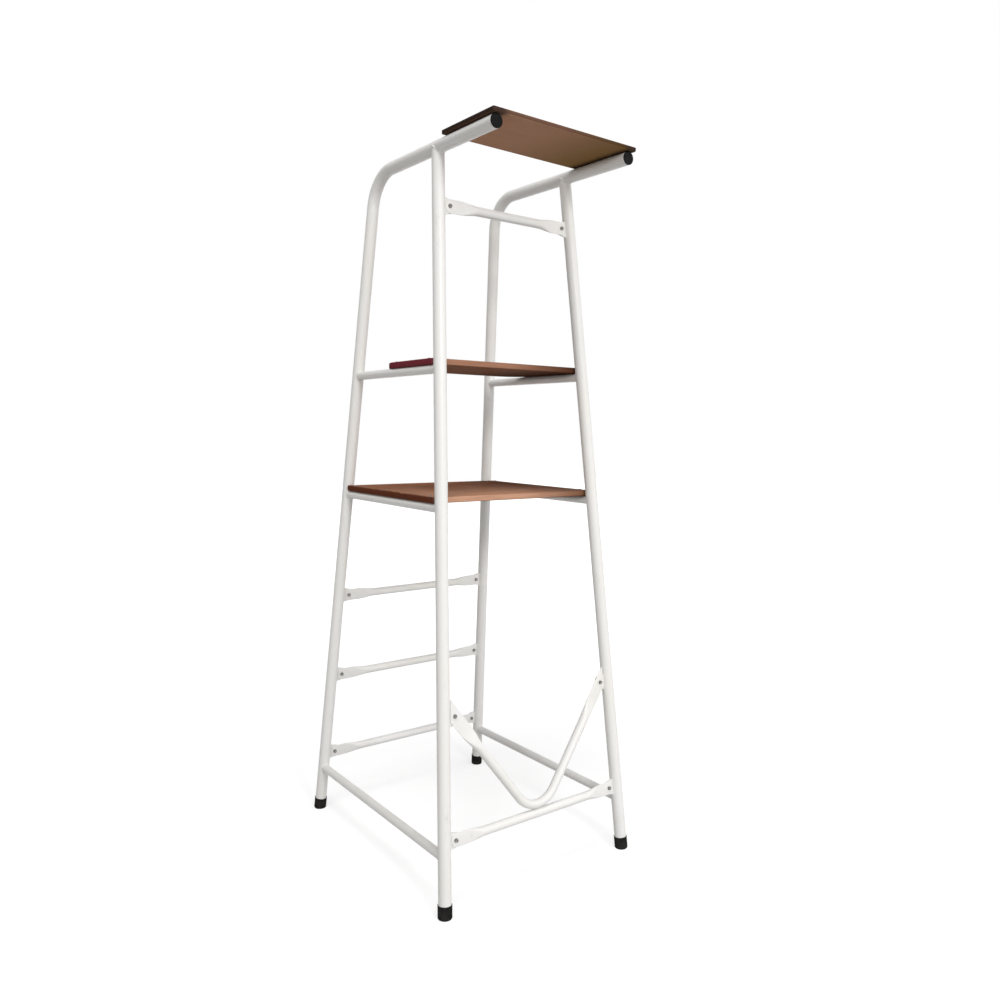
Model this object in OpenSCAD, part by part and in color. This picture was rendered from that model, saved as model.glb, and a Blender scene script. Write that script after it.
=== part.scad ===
// Tall referee chair for a volleyball court: a stand of white steel tube with
// three boards. Two welded side frames lean towards each other and are held
// together by cross bars, rungs and a V brace, whose ends are pressed flat and
// bolted to tabs beside the legs. The rungs are at the rear, on the inner side of
// their tabs. The arms that carry the top board reach out at the front, towards -Y.

/* [Leg and arm tubes] */
// Outside diameter of the leg and arm tubes
tube_d = 38; // [34:1:42]
// Wall of the leg and arm tubes
tube_wall = 1.5; // [1.2:0.1:2.5]
// Radius of the bend from rear leg to arm, on the centre line
arm_bend_r = 110; // [85:5:140]

/* [Rail and bar tubes] */
// Outside diameter of the rails, bars, rungs and brace
bar_d = 27; // [22:1:30]
// Wall of the rails, bars, rungs and brace
bar_wall = 1.2; // [1:0.1:1.6]

/* [Side frames] */
// Distance across the stand between the feet, centre to centre on the floor
foot_width = 689; // [640:1:760]
// Distance from front to rear between the feet, centre to centre on the floor
foot_depth = 836; // [780:2:900]
// Lean of each side frame towards the other, in degrees
lean = 2.75; // [2:0.25:3.5]
// Slope of the front and rear legs towards each other, in degrees
rake = 6; // [5:0.25:6.5]
// Height of the arms over the middle of the stand, on the centre line
arm_height = 2178; // [2120:2:2240]
// Fall of the arms towards their front ends, in degrees
arm_fall = 1.2; // [0:0.2:3]
// Reach of the arm tubes forward of the middle of the stand
arm_reach = 473; // [440:1:500]
// Height of the base rails at the middle of the stand, on the centre line
base_rail_z = 159; // [140:1:175]
// Rise of the base rails towards the front, in degrees
base_rail_rise = 0.9; // [0:0.1:1.5]
// Height of the rails under the platform, on the centre line
platform_rail_z = 1141; // [1080:1:1220]
// Height of the rails under the seat, on the centre line
seat_rail_z = 1539; // [1480:1:1620]

/* [Cross bars and brace] */
// Height of the lower front bar, on the centre line
lower_bar_z = 206; // [195:1:225]
// Drop of the upper front bar below the arms, between centre lines
upper_bar_drop = 169; // [120:1:220]
// Height of the lowest rung, on the centre line
rung_z = 206; // [195:1:240]
// Step from one rung to the next
rung_pitch = 289; // [260:1:300]
// Height of the bolts at the upper ends of the brace
brace_bolt_z = 553; // [520:1:620]
// Radius of the bend at the foot of the brace, on the centre line
brace_bend_r = 83; // [60:1:110]

/* [Pressed ends] */
// Flat from the bolt to the flare, on bars and rungs
bar_flat = 36; // [28:1:45]
// Length of the flare, on bars and rungs
bar_flare = 64; // [40:1:80]
// Flat from the bolt to the flare, on the brace
brace_flat = 60; // [40:1:70]
// Length of the flare, on the brace
brace_flare = 80; // [60:1:90]
// Flat from the bolt to the cut end, on bars and rungs
bar_edge = 13; // [11:0.5:14]
// Radius of the corners of a bar's cut end
bar_corner = 14; // [4:1:18]

/* [Tabs] */
// Thickness of the tabs welded to the legs
tab_t = 5; // [4:0.5:6]
// Height of a tab at its leg
tab_h = 50; // [46:1:60]
// Height of a tab at its free end, before the corners are rounded
tab_tip = 36; // [34:1:44]
// Distance of the bolt from the leg
bolt_inset = 17; // [16:0.5:22]
// Material of the tab past the bolt
tab_edge = 15; // [12:0.5:18]
// Radius of the tab's free corners
tab_corner = 10; // [4:1:14]

/* [Boards] */
// Thickness of the platform and the seat
board_t = 18; // [15:1:21]
// Depth of the seat from the front legs to its rounded edge
seat_depth = 325; // [300:5:360]
// Radius of the seat's two free corners
seat_corner = 100; // [60:5:120]
// Overhang of the top board past the middle of the arms, at each side
top_board_side = 20; // [12:1:40]
// Depth of the top board
top_board_d = 250; // [220:2:256]
// Thickness of the top board
top_board_t = 12; // [9:1:16]
// Overhang of the top board past the plugs in the arms
top_board_lip = 10; // [4:1:20]
// Radius of the square corners of the boards
board_corner = 4; // [2:1:8]
// Distance of the screws from the ends of a board
screw_inset = 35; // [25:1:60]
// Distance of the top board's front screws from the plugs in the arms
plug_to_screw = 12; // [8:1:30]

/* [Feet and plugs] */
// Outside diameter of the rubber feet
foot_d = 42; // [41:0.5:50]
// Height of the rubber feet
foot_h = 38; // [32:1:60]
// Rubber under the end of the tube
foot_floor = 9; // [8:0.5:14]
// Rounding of the foot's lower edge
foot_round = 6; // [3:0.5:8]
// Thickness of the rim on the plugs in the arms
plug_rim = 4; // [3:0.5:6]
// Length of the plugs inside the arms
plug_len = 24; // [15:1:40]

/* [Fasteners] */
// Diameter of the bolts
bolt_d = 6; // [5:0.5:7]
// Width of the bolt heads and nuts across their flats
hex_w = 10; // [9:0.5:11]
// Height of the bolt heads
head_h = 4; // [3:0.1:5]
// Height of the nuts
nut_h = 5; // [4:0.1:6]
// Diameter of the washers
washer_d = 12; // [11.5:0.5:16]
// Thickness of the washers
washer_t = 1.6; // [1:0.1:2]
// Bolt standing out past the nut
bolt_past = 2.5; // [1:0.5:5]
// Diameter of the board screws
screw_d = 5; // [4:0.1:6]
// Diameter of the screw heads
screw_head_d = 11; // [9:0.5:13]
// Height of the screw heads
screw_head_h = 2.6; // [2:0.1:4]
// Reach of the screws below the underside of a board
screw_past = 6; // [4:0.5:8]

/* [Hidden] */

$fn = 64;

steel_white = [0.93, 0.92, 0.90];
board_brown = [0.45, 0.28, 0.20];
top_brown = [0.40, 0.27, 0.21];
rubber_black = [0.06, 0.06, 0.065];
bolt_dark = [0.25, 0.24, 0.23];

// Clearances
weld_gap = 0.2;    // root gap of a coped end, filled by the weld
rest_gap = 0.2;    // a board over the tube that it lies on
slip = 0.2;        // rubber and plastic fittings on their tubes, each side
hole_gap = 0.5;    // bolts and screws in their holes, each side
thread_gap = 0.1;  // bolts in their nuts, each side
trim_gap = 3;      // the trimmed ends of the brace to the legs
brace_gap = 0.3;   // the brace over the lower front bar
leg_gap = 1.5;     // boards to the legs that they fit between
lap = 2;           // length that joined shapes of one tube share
draw = 0.2;        // how much slimmer a tube is drawn in a bend or flare
reach = 10;        // cutters past the surface that they cut

// Angles and places that follow from the sizes
tilt = atan(tan(rake) / cos(lean));
arm_tilt = atan(tan(arm_fall) * cos(lean));
frame_up = 1 / cos(lean);
front_up = 1 / cos(tilt);
upper_bar_z = arm_height - upper_bar_drop;
rungs = [for (i = [0:2]) rung_z + i * rung_pitch];
turn = 90 - rake + arm_fall;
arm_zero = arm_height * frame_up;
corner_up = (arm_zero + foot_depth / 2 * tan(arm_fall)) / (1 + tan(rake) * tan(arm_fall));
corner_in = foot_depth / 2 - corner_up * tan(rake);
setback = arm_bend_r * tan(turn / 2);
leg_start = foot_floor;
rear_run = corner_up / cos(rake) - setback - leg_start;
arm_run = (corner_in + arm_reach) / cos(arm_fall) - setback;
leg_long = corner_up / cos(rake) + reach;

function leg_x(z) = foot_width / 2 - z * tan(lean);
function leg_y(z) = foot_depth / 2 - z * tan(tilt);
function bolt_x(z) = leg_x(z) - tube_d / 2 - bolt_inset;

// Boards
platform_z = platform_rail_z + bar_d / 2 + rest_gap;
seat_z = seat_rail_z + bar_d / 2 + rest_gap;
top_board_z = tube_d / 2 + rest_gap;
platform_w = 2 * leg_x(platform_rail_z) + bar_d;
platform_d = 2 * (leg_y(platform_z + board_t) - tube_d / 2 / cos(tilt) - leg_gap);
seat_w = 2 * leg_x(seat_rail_z) + bar_d;
seat_front = leg_y(seat_z + board_t) - tube_d / 2 / cos(tilt) - leg_gap;
top_board_w = 2 * (leg_x(arm_height) + top_board_side);
top_board_front = arm_reach + plug_rim + top_board_lip;
seat_screw_y = [screw_inset - seat_front, seat_depth - seat_front - seat_corner];
top_board_rear = top_board_front - top_board_d;
top_screw_y = [plug_len + plug_to_screw - arm_reach, -top_board_rear - screw_inset];

// Brace, in the plane of the front legs
brace_foot = lower_bar_z * front_up + bar_d + brace_gap;
brace_hub = brace_foot + brace_bend_r;
brace_dx = bolt_x(brace_bolt_z);
brace_dz = brace_bolt_z * front_up - brace_hub;
brace_hyp = sqrt(pow(brace_dx, 2) + pow(brace_dz, 2));
brace_angle = atan2(brace_dz, brace_dx) + asin(brace_bend_r / brace_hyp);
brace_run = sqrt(pow(brace_hyp, 2) - pow(brace_bend_r, 2));
brace_past = (bolt_inset + bar_d) / cos(brace_angle) - bolt_inset;

// The stand is centred on its overall depth
front_most = top_board_front * cos(arm_tilt) + (top_board_z + top_board_t) * sin(arm_tilt);
rear_most = foot_depth / 2 + foot_d / 2 / cos(rake) - foot_round * tan(tilt);
centre_y = (front_most - rear_most) / 2;

// Side frames, each in its own leaning plane: Y along the depth, Z up the plane

module on_side(side) {
    mirrored = side == "left" ? 0 : 1;
    translate([0, centre_y, 0])
        mirror([mirrored, 0, 0])
            translate([-foot_width / 2, 0, 0])
                rotate([0, lean, 0])
                    children();
}

module along_front_leg() {
    translate([0, -foot_depth / 2, 0]) rotate([-rake, 0, 0]) children();
}

module along_rear_leg() {
    translate([0, foot_depth / 2, 0]) rotate([rake, 0, 0]) children();
}

module along_arm() {
    translate([0, 0, arm_zero]) rotate([90 + arm_fall, 0, 0]) children();
}

// The plane of the front legs and the plane of the rear legs, which the cross
// bars lie in: X across the stand, Z up the plane, -Y to the outside

module on_front() {
    translate([0, centre_y - foot_depth / 2, 0]) rotate([-tilt, 0, 0]) children();
}

module on_rear() {
    translate([0, centre_y + foot_depth / 2, 0]) mirror([0, 1, 0]) rotate([-tilt, 0, 0]) children();
}

// The same plane turned to the inside of the stand, for the rungs
module on_rear_inside() {
    on_rear() mirror([0, 1, 0]) children();
}

module on_both(z) {
    for (m = [0, 1]) mirror([m, 0, 0]) translate([bolt_x(z), 0, z * front_up]) children();
}

// Boards

module on_platform() {
    translate([0, centre_y, platform_z]) children();
}

module on_seat() {
    translate([0, centre_y, seat_z]) children();
}

module on_arms() {
    translate([0, centre_y, arm_height]) rotate([arm_tilt, 0, 0]) translate([0, 0, top_board_z]) children();
}

// Tubes

module pipe(len, d, wall) {
    difference() {
        cylinder(h = len, d = d);
        translate([0, 0, -reach]) cylinder(h = len + 2 * reach, d = d - 2 * wall);
    }
}

// A tube with one bend: it comes in along +Y at x = r, turns about the origin
// and leaves at the angle a
module bent_pipe(before, after, r, a, d, wall) {
    union() {
        rotate_extrude(angle = a) translate([r, 0]) difference() {
            circle(d = d - draw);
            circle(d = d - 2 * wall + draw);
        }
        translate([r, lap, 0]) rotate([90, 0, 0]) pipe(before + lap, d, wall);
        rotate([0, 0, a]) translate([r, -lap, 0]) rotate([-90, 0, 0]) pipe(after + lap, d, wall);
    }
}

// A pressed tube keeps its girth: as the section gets thinner, it gets wider
function pressed_w(t, girth_d) = t + PI * (girth_d - t) / 2;

function slot_ring(t, w, z, sides) = [
    for (i = [0:sides - 1])
        let (a = 360 * (i + 0.5) / sides, s = cos(a) > 0 ? 1 : -1)
        [s * (w - t) / 2 + t / 2 * cos(a), t / 2 * sin(a), z]
];

function ease(u) = u * u * (3 - 2 * u);

// A solid through rings of points, one above the other
module loft(rings) {
    n = len(rings[0]);
    m = len(rings);
    polyhedron(
        points = [for (ring = rings) for (p = ring) p],
        faces = concat(
            [[for (i = [0:n - 1]) i]],
            [for (k = [0:m - 2]) for (i = [0:n - 1]) [k * n + i, (k + 1) * n + i, (k + 1) * n + (i + 1) % n]],
            [for (k = [0:m - 2]) for (i = [0:n - 1]) [k * n + i, (k + 1) * n + (i + 1) % n, k * n + (i + 1) % n]],
            [[for (i = [n - 1:-1:0]) (m - 1) * n + i]]
        )
    );
}

flare_sides = 24;
flare_rings = 5;
flat_t = 2 * bar_wall;
flat_w = pressed_w(flat_t, bar_d);

// The flare from the round tube to the pressed flat, with the tube's hollow
// closing inside it. Z runs out of the tube, the flat is wide along X
module flare(len) {
    difference() {
        loft(concat(
            [slot_ring(bar_d - draw, bar_d - draw, -lap, flare_sides)],
            [for (k = [0:flare_rings])
                let (u = k / flare_rings, t = bar_d - draw - ease(u) * (bar_d - 2 * draw - flat_t))
                slot_ring(t, pressed_w(t, bar_d - draw), u * len, flare_sides)]
        ));
        loft(concat(
            [slot_ring(bar_d - flat_t + 2 * draw, bar_d - flat_t + 2 * draw, -lap - reach, flare_sides)],
            [for (k = [0:flare_rings - 1])
                let (u = k / flare_rings, t = bar_d - flat_t + 2 * draw - ease(u) * (bar_d - flat_t))
                slot_ring(t, pressed_w(t, bar_d - flat_t + 2 * draw), u * len, flare_sides)]
        ));
    }
}

module plate_outline(w, len, r) {
    translate([-w / 2, 0]) square([w, len - r]);
    translate([-w / 2 + r, 0]) square([w - 2 * r, len]);
    for (s = [-1, 1]) translate([s * (w / 2 - r), len - r]) circle(r = r);
}

// A flare and its flat with the bolt hole. The flat reaches back into the flare
module pressed_end(flare_len, flat_len, edge, corner) {
    difference() {
        union() {
            flare(flare_len);
            translate([0, bar_wall, flare_len - lap])
                rotate([90, 0, 0])
                    linear_extrude(flat_t) plate_outline(flat_w, lap + flat_len + edge, corner);
        }
        translate([0, 0, flare_len + flat_len])
            rotate([90, 0, 0])
                cylinder(h = flat_t + 2 * reach, d = bolt_d + 2 * hole_gap, center = true);
    }
}

// Nodes

module rear_leg(side) {
    color(steel_white)
        difference() {
            on_side(side)
                along_rear_leg()
                    translate([0, -arm_bend_r, leg_start + rear_run])
                        rotate([90, 0, 90])
                            bent_pipe(rear_run, arm_run, arm_bend_r, turn, tube_d, tube_wall);
            top_board_screws(hole_gap);
        }
}

module front_leg(side) {
    color(steel_white)
        on_side(side)
            difference() {
                along_front_leg()
                    translate([0, 0, leg_start])
                        pipe(arm_zero / cos(rake) - leg_start, tube_d, tube_wall);
                translate([0, -foot_depth, 0])
                    along_arm()
                        translate([0, 0, -2 * foot_depth])
                            cylinder(h = 4 * foot_depth, d = tube_d + 2 * weld_gap);
            }
}

module leg_space(gap) {
    along_front_leg() cylinder(h = leg_long, d = tube_d + 2 * gap);
    along_rear_leg() cylinder(h = leg_long, d = tube_d + 2 * gap);
}

module side_rail(side, z, rise) {
    run = 2 * (foot_depth / 2 - z * frame_up * tan(rake));
    on_side(side)
        difference() {
            translate([0, 0, z * frame_up])
                rotate([90 - rise, 0, 0])
                    translate([0, 0, -run / 2])
                        pipe(run, bar_d, bar_wall);
            leg_space(weld_gap);
        }
}

module base_rail(side) {
    color(steel_white) side_rail(side, base_rail_z, base_rail_rise);
}

module platform_rail(side) {
    color(steel_white)
        difference() {
            side_rail(side, platform_rail_z, 0);
            platform_screws(hole_gap);
        }
}

module seat_rail(side) {
    color(steel_white)
        difference() {
            side_rail(side, seat_rail_z, 0);
            seat_screws(hole_gap);
        }
}

// A tab is highest at its leg and gets lower to its free end
module tab_outline() {
    len = tube_d / 2 + bolt_inset + tab_edge;
    taper = atan((tab_h - tab_tip) / 2 / (len - tube_d / 2));
    y = len - tab_corner;
    x = tab_h / 2 - (tab_corner + (y - tube_d / 2) * sin(taper)) / cos(taper);
    edge_x = x + tab_corner * cos(taper);
    edge_y = y + tab_corner * sin(taper);
    polygon([
        [-tab_h / 2, 0], [tab_h / 2, 0], [tab_h / 2, tube_d / 2], [edge_x, edge_y], [x, y],
        [x, len], [-x, len], [-x, y], [-edge_x, edge_y], [-tab_h / 2, tube_d / 2]
    ]);
    for (s = [-1, 1]) translate([s * x, y]) circle(r = tab_corner);
}

// A tab lies in the plane of the legs, coped to the leg at its own height
module tab(side, z) {
    mirrored = side == "left" ? 0 : 1;
    mirror([mirrored, 0, 0])
        translate([-leg_x(z), 0, z * front_up])
            difference() {
                translate([0, tab_t / 2, 0])
                    rotate([90, 90, 0])
                        linear_extrude(tab_t) tab_outline();
                translate([tube_d / 2 + bolt_inset, 0, 0])
                    rotate([90, 0, 0])
                        cylinder(h = tab_t + 2 * reach, d = bolt_d + 2 * hole_gap, center = true);
            }
}

module tabs_front(side) {
    color(steel_white)
        difference() {
            on_front() for (z = [lower_bar_z, brace_bolt_z, upper_bar_z]) tab(side, z);
            on_side(side) leg_space(weld_gap);
        }
}

module tabs_rear(side) {
    color(steel_white)
        difference() {
            on_rear() for (z = rungs) tab(side, z);
            on_side(side) leg_space(weld_gap);
        }
}

// A bar across the stand with both ends pressed flat and held against the tabs
module cross_bar(z) {
    half = bolt_x(z) - bar_flat - bar_flare;
    translate([0, -(tab_t / 2 + bar_wall), z * front_up])
        union() {
            translate([-half, 0, 0]) rotate([0, 90, 0]) pipe(2 * half, bar_d, bar_wall);
            for (m = [0, 1])
                mirror([m, 0, 0])
                    translate([half, 0, 0])
                        rotate([0, 90, 0])
                            pressed_end(bar_flare, bar_flat, bar_edge, bar_corner);
        }
}

module lower_bar() {
    color(steel_white) on_front() cross_bar(lower_bar_z);
}

module upper_bar() {
    color(steel_white) on_front() cross_bar(upper_bar_z);
}

module rung(i) {
    color(steel_white) on_rear_inside() cross_bar(rungs[i]);
}

// One tube bent to a V. Its foot rests on the lower bar, and its pressed ends
// are trimmed along the legs
module v_brace() {
    straight = brace_run - brace_flat - brace_flare;
    color(steel_white)
        difference() {
            on_front()
                translate([0, -(tab_t / 2 + bar_wall), brace_hub])
                    rotate([90, 0, 0])
                        union() {
                            rotate([0, 0, -90 - brace_angle])
                                bent_pipe(straight, straight, brace_bend_r, 2 * brace_angle, bar_d, bar_wall);
                            for (m = [0, 1])
                                mirror([m, 0, 0])
                                    rotate([0, 0, brace_angle - 90])
                                        translate([brace_bend_r, straight, 0])
                                            rotate([-90, 0, 0])
                                                pressed_end(brace_flare, brace_flat, brace_past, bar_corner);
                        }
            on_side("left") leg_space(trim_gap);
            on_side("right") leg_space(trim_gap);
        }
}

// Boards

module board_outline(w, d, r_front, r_rear) {
    translate([r_front - w / 2, 0]) square([w - 2 * r_front, d / 2]);
    translate([-w / 2, r_front]) square([w, d - r_front - r_rear]);
    translate([r_rear - w / 2, d / 2]) square([w - 2 * r_rear, d / 2]);
    for (s = [-1, 1]) {
        translate([s * (w / 2 - r_front), r_front]) circle(r = r_front);
        translate([s * (w / 2 - r_rear), d - r_rear]) circle(r = r_rear);
    }
}

// Screws at a board's own plane, each standing from screw_past below it. With a
// gap they are the holes for them, without heads
module screws(places, t, gap) {
    for (p = places)
        translate(p) {
            translate([0, 0, -screw_past]) cylinder(h = t + screw_past + gap, d = screw_d + 2 * gap);
            if (gap == 0) translate([0, 0, t]) cylinder(h = screw_head_h, d1 = screw_head_d, d2 = screw_d);
        }
}

module platform_screws(gap) {
    y = platform_d / 2 - screw_inset;
    on_platform()
        screws([for (sx = [-1, 1], sy = [-1, 1]) [sx * leg_x(platform_rail_z), sy * y, 0]], board_t, gap);
}

module seat_screws(gap) {
    on_seat()
        screws([for (sx = [-1, 1], y = seat_screw_y) [sx * leg_x(seat_rail_z), y, 0]], board_t, gap);
}

module top_board_screws(gap) {
    on_arms()
        screws([for (sx = [-1, 1], y = top_screw_y) [sx * leg_x(arm_height), y, 0]], top_board_t, gap);
}

module platform() {
    color(board_brown)
        difference() {
            on_platform()
                translate([0, -platform_d / 2, 0])
                    linear_extrude(board_t)
                        board_outline(platform_w, platform_d, board_corner, board_corner);
            platform_screws(hole_gap);
        }
}

module seat_board() {
    color(board_brown)
        difference() {
            on_seat()
                translate([0, -seat_front, 0])
                    linear_extrude(board_t)
                        board_outline(seat_w, seat_depth, board_corner, seat_corner);
            seat_screws(hole_gap);
        }
}

module top_board() {
    color(top_brown)
        difference() {
            on_arms()
                translate([0, -top_board_front, 0])
                    linear_extrude(top_board_t)
                        board_outline(top_board_w, top_board_d, board_corner, board_corner);
            top_board_screws(hole_gap);
        }
}

module board_screws() {
    color(bolt_dark) {
        platform_screws(0);
        seat_screws(0);
        top_board_screws(0);
    }
}

// Feet and plugs

// A cap over the end of a leg, cut level where it stands on the floor
module foot_cap() {
    bottom = -foot_d * tan(rake) / 2;
    difference() {
        rotate_extrude() {
            translate([0, bottom]) square([foot_d / 2 - foot_round, foot_h - bottom]);
            translate([0, bottom + foot_round]) square([foot_d / 2, foot_h - bottom - foot_round]);
            translate([foot_d / 2 - foot_round, bottom + foot_round]) circle(r = foot_round);
        }
        translate([0, 0, leg_start]) cylinder(h = foot_h, d = tube_d + 2 * slip);
    }
}

module foot(side, end) {
    color(rubber_black)
        difference() {
            on_side(side) {
                if (end == "front") along_front_leg() foot_cap();
                if (end == "rear") along_rear_leg() foot_cap();
            }
            translate([-foot_width, -foot_depth, -foot_h]) cube([2 * foot_width, 2 * foot_depth, foot_h]);
        }
}

// A plug in the open end of an arm, with a rim as wide as the tube
module arm_plug(side) {
    edge = plug_rim / 2;
    bore = tube_d - 2 * tube_wall - 2 * slip;
    color(rubber_black)
        on_side(side)
            along_arm()
                translate([0, 0, arm_reach / cos(arm_fall)]) {
                    translate([0, 0, -plug_len]) cylinder(h = plug_len, d = bore);
                    rotate_extrude() {
                        square([tube_d / 2 - edge, plug_rim]);
                        square([tube_d / 2, plug_rim - edge]);
                        translate([tube_d / 2 - edge, plug_rim - edge]) circle(r = edge);
                    }
                }
}

// Fasteners, each in line with its hole: the heads and the pressed ends are on
// the -Y side of a tab, the nuts on its +Y side

head_side = tab_t / 2 + flat_t;
nut_side = tab_t / 2;

module bolt() {
    rotate([90, 0, 0]) {
        translate([0, 0, head_side + washer_t]) cylinder(h = head_h, d = hex_w / cos(30), $fn = 6);
        translate([0, 0, -nut_side - washer_t - nut_h - bolt_past])
            cylinder(h = nut_side + washer_t + nut_h + bolt_past + head_side + washer_t + head_h / 2, d = bolt_d);
    }
}

module nut() {
    rotate([90, 0, 0])
        translate([0, 0, -nut_side - washer_t - nut_h])
            difference() {
                cylinder(h = nut_h, d = hex_w / cos(30), $fn = 6);
                translate([0, 0, -reach]) cylinder(h = nut_h + 2 * reach, d = bolt_d + 2 * thread_gap);
            }
}

module washer() {
    difference() {
        cylinder(h = washer_t, d = washer_d);
        translate([0, 0, -reach]) cylinder(h = washer_t + 2 * reach, d = bolt_d + hole_gap);
    }
}

module washer_pair() {
    rotate([90, 0, 0]) {
        translate([0, 0, head_side]) washer();
        translate([0, 0, -nut_side - washer_t]) washer();
    }
}

module at_bolts() {
    on_front() for (z = [lower_bar_z, brace_bolt_z, upper_bar_z]) on_both(z) children();
    on_rear_inside() for (z = rungs) on_both(z) children();
}

module bolts() {
    color(bolt_dark) at_bolts() bolt();
}

module nuts() {
    color(bolt_dark) at_bolts() nut();
}

module washers() {
    color(bolt_dark) at_bolts() washer_pair();
}

rear_leg("left");  // rear_leg_left
rear_leg("right");  // rear_leg_right
front_leg("left");  // front_leg_left
front_leg("right");  // front_leg_right
base_rail("left");  // base_rail_left
base_rail("right");  // base_rail_right
platform_rail("left");  // platform_rail_left
platform_rail("right");  // platform_rail_right
seat_rail("left");  // seat_rail_left
seat_rail("right");  // seat_rail_right
tabs_front("left");  // tabs_front_left
tabs_front("right");  // tabs_front_right
tabs_rear("left");  // tabs_rear_left
tabs_rear("right");  // tabs_rear_right
lower_bar();
upper_bar();
v_brace();
rung(0);  // rung_low
rung(1);  // rung_middle
rung(2);  // rung_high
platform();
seat_board();
top_board();
foot("left", "front");  // foot_front_left
foot("right", "front");  // foot_front_right
foot("left", "rear");  // foot_rear_left
foot("right", "rear");  // foot_rear_right
arm_plug("left");  // arm_plug_left
arm_plug("right");  // arm_plug_right
bolts();
nuts();
washers();
board_screws();
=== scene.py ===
# %% [markdown]
# # A referee chair in white steel tube
# This lesson dresses a tall volleyball referee chair for its picture. The real
# one is a stand of painted steel tube with three brown boards, black rubber feet
# and zinc bolts. The exact solids of every piece come in as a fixed frame, and
# the cells below give them their finishes and add what a workshop leaves on
# them: weld beads, chamfered bolts, eased board edges, smoothly pressed ends.

# %% Load the frame
import math
import random

import bmesh
import bpy
from mathutils import Matrix, Vector


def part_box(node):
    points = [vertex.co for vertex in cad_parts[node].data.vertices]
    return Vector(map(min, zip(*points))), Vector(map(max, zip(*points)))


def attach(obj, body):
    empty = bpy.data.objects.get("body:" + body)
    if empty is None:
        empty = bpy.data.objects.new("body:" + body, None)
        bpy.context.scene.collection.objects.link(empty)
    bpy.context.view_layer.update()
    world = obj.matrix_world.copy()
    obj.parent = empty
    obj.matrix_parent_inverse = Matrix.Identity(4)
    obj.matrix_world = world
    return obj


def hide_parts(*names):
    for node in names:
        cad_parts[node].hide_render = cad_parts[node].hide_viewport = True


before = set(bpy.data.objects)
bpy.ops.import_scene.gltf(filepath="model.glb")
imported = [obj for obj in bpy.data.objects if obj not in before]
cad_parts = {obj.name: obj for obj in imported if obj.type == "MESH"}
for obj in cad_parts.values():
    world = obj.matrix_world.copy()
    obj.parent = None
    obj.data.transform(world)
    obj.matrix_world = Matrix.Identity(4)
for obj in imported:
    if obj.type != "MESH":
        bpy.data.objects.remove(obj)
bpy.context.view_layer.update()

print("pieces in the frame:", len(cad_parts))

# %% [markdown]
# ## Driving sizes
# The stand follows from few numbers: where the feet stand, how far the side
# frames lean in and how far the legs slope. They are repeated here in metres,
# because a bar, a bolt or a weld bead is drawn where the legs say that it is.
# `leg_x` and `bolt_x` say how far from the middle a leg and its bolts are at a
# given height.

# %% Driving sizes
MM = 0.001
LEG_R = 19 * MM
BAR_R = 13.5 * MM
BAR_WALL = 1.2 * MM
FOOT_X = 344.5 * MM
FOOT_Y = 418 * MM
LEAN = math.radians(2.75)
RAKE = math.radians(6)
ARM_FALL = math.radians(1.2)
ARM_REACH = 473 * MM
ARM_Z = 2178 * MM
UPPER_BAR_DROP = 169 * MM
UPPER_BAR_Z = ARM_Z - UPPER_BAR_DROP
SEAT_RAIL_Z = 1539 * MM
PLATFORM_RAIL_Z = 1141 * MM
BRACE_BOLT_Z = 553 * MM
LOWER_BAR_Z = 206 * MM
BASE_RAIL_Z = 159 * MM
BASE_RAIL_RISE = math.radians(0.9)
FIRST_RUNG_Z = 206 * MM
RUNG_PITCH = 289 * MM
RUNG_Z = [FIRST_RUNG_Z + step * RUNG_PITCH for step in range(3)]
TAB_T = 5 * MM
TAB_H = 50 * MM
BOLT_INSET = 17 * MM
REST_GAP = 0.2 * MM

TILT = math.atan(math.tan(RAKE) / math.cos(LEAN))
ARM_TILT = math.atan(math.tan(ARM_FALL) * math.cos(LEAN))
CENTRE_Y = (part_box("foot_front_left")[0].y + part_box("foot_rear_left")[1].y) / 2


def leg_x(z):
    return FOOT_X - z * math.tan(LEAN)


def bolt_x(z):
    return leg_x(z) - LEG_R - BOLT_INSET


print("centre of the feet in mm:", round(CENTRE_Y / MM, 2))
print("bolts of the upper bar from the middle in mm:", round(bolt_x(UPPER_BAR_Z) / MM, 1))

# %% [markdown]
# ## Camera
# The photograph was taken standing, a little above half the height of the stand
# and about two and a half metres from its nearest leg. A camera in the script
# needs a place, a direction and a lens. The direction is built from three
# angles, turned into the camera's own axes.

# %% Camera
CAMERA_PLACE = Vector((-1.5426, -2.2714 + CENTRE_Y, 1.3722))
CAMERA_YAW = math.radians(36.495)
CAMERA_PITCH = math.radians(-4.988)
CAMERA_ROLL = math.radians(0.7405)
FOCAL_SHARE = 0.82439
SENSOR_MM = 36


def camera_axes(yaw, pitch, roll):
    """The camera's right, up and backward directions."""
    ahead = Vector((math.sin(yaw) * math.cos(pitch), math.cos(yaw) * math.cos(pitch), math.sin(pitch)))
    level = Vector((math.cos(yaw), -math.sin(yaw), 0))
    upright = level.cross(ahead)
    right = math.cos(roll) * level + math.sin(roll) * upright
    up = -math.sin(roll) * level + math.cos(roll) * upright
    return right, up, -ahead


camera_data = bpy.data.cameras.new("camera")
camera_data.sensor_width = SENSOR_MM
camera_data.lens = FOCAL_SHARE * SENSOR_MM
camera = bpy.data.objects.new("camera", camera_data)
camera_frame = Matrix(camera_axes(CAMERA_YAW, CAMERA_PITCH, CAMERA_ROLL)).transposed().to_4x4()
camera.matrix_world = Matrix.Translation(CAMERA_PLACE) @ camera_frame
bpy.context.scene.collection.objects.link(camera)
bpy.context.scene.camera = camera
print("lens in mm:", round(camera_data.lens, 2))

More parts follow.
